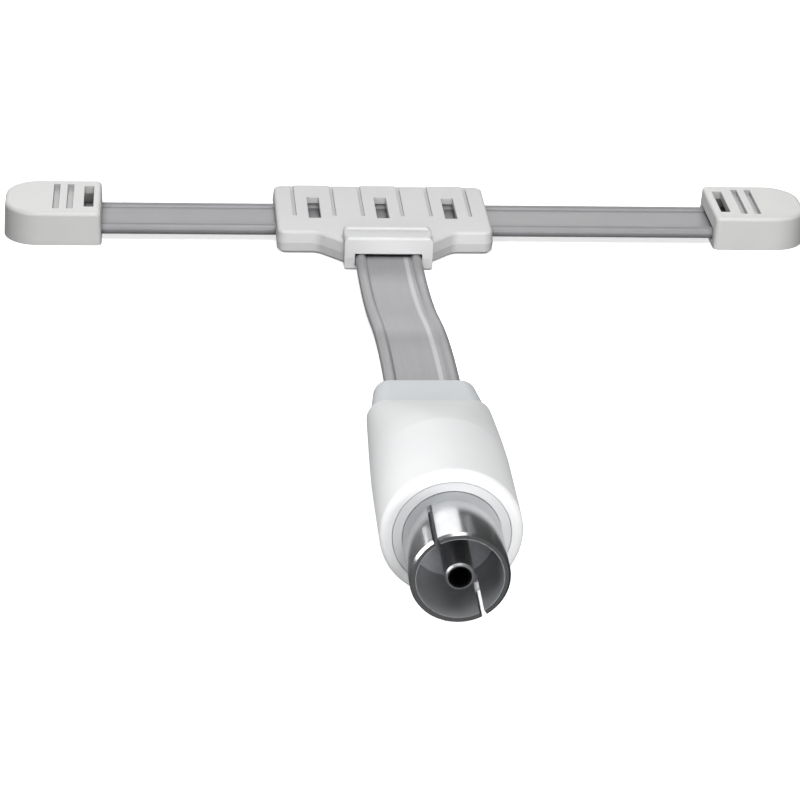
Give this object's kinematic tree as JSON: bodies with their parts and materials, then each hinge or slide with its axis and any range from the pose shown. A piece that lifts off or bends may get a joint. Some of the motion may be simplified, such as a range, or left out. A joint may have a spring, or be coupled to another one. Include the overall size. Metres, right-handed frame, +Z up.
{
  "type": "fm indoor antenna",
  "caption": "Indoor FM dipole of flat twin-lead ribbon: moulded tee, end caps on both arms and a short flat lead to a white coaxial line socket with a slotted plated sleeve.",
  "frame": {"origin": "centre of the tee's underside, on the surface that the antenna lies on", "axes": "+X along the arms to the longer arm, -Y along the lead to the line socket, +Z up from the surface"},
  "size_m": [0.1175, 0.1295, 0.0161],
  "materials": {
    "white_plastic": "smooth moulded",
    "grey_ribbon": "extruded, satin",
    "nickel_plate": "bright plated",
    "dark_plastic": "moulded",
    "copper_wire": "bare drawn wire",
    "solder": "dull",
    "ferrite": "sintered, matt"
  },
  "bodies": {
    "root": {"tee_cover": "white_plastic", "tee_base": "white_plastic", "left_cap_cover": "white_plastic", "left_cap_base": "white_plastic", "right_cap_cover": "white_plastic", "right_cap_base": "white_plastic", "dipole_ribbon": "grey_ribbon", "dipole_rear_wire": "copper_wire", "dipole_front_wire_left": "copper_wire", "dipole_front_wire_right": "copper_wire", "end_joints": "solder", "lead_ribbon": "grey_ribbon", "lead_wire_left": "copper_wire", "lead_wire_right": "copper_wire", "feed_joints": "solder", "ribbon_holder": "white_plastic", "connector_shell": "white_plastic", "front_bush": "white_plastic", "outer_contact": "nickel_plate", "contact_insulator": "dark_plastic", "centre_contact": "nickel_plate", "balun_core": "ferrite", "balun_primary": "copper_wire", "balun_secondary": "copper_wire", "balun_joints": "solder"}
  },
  "joints": []
}
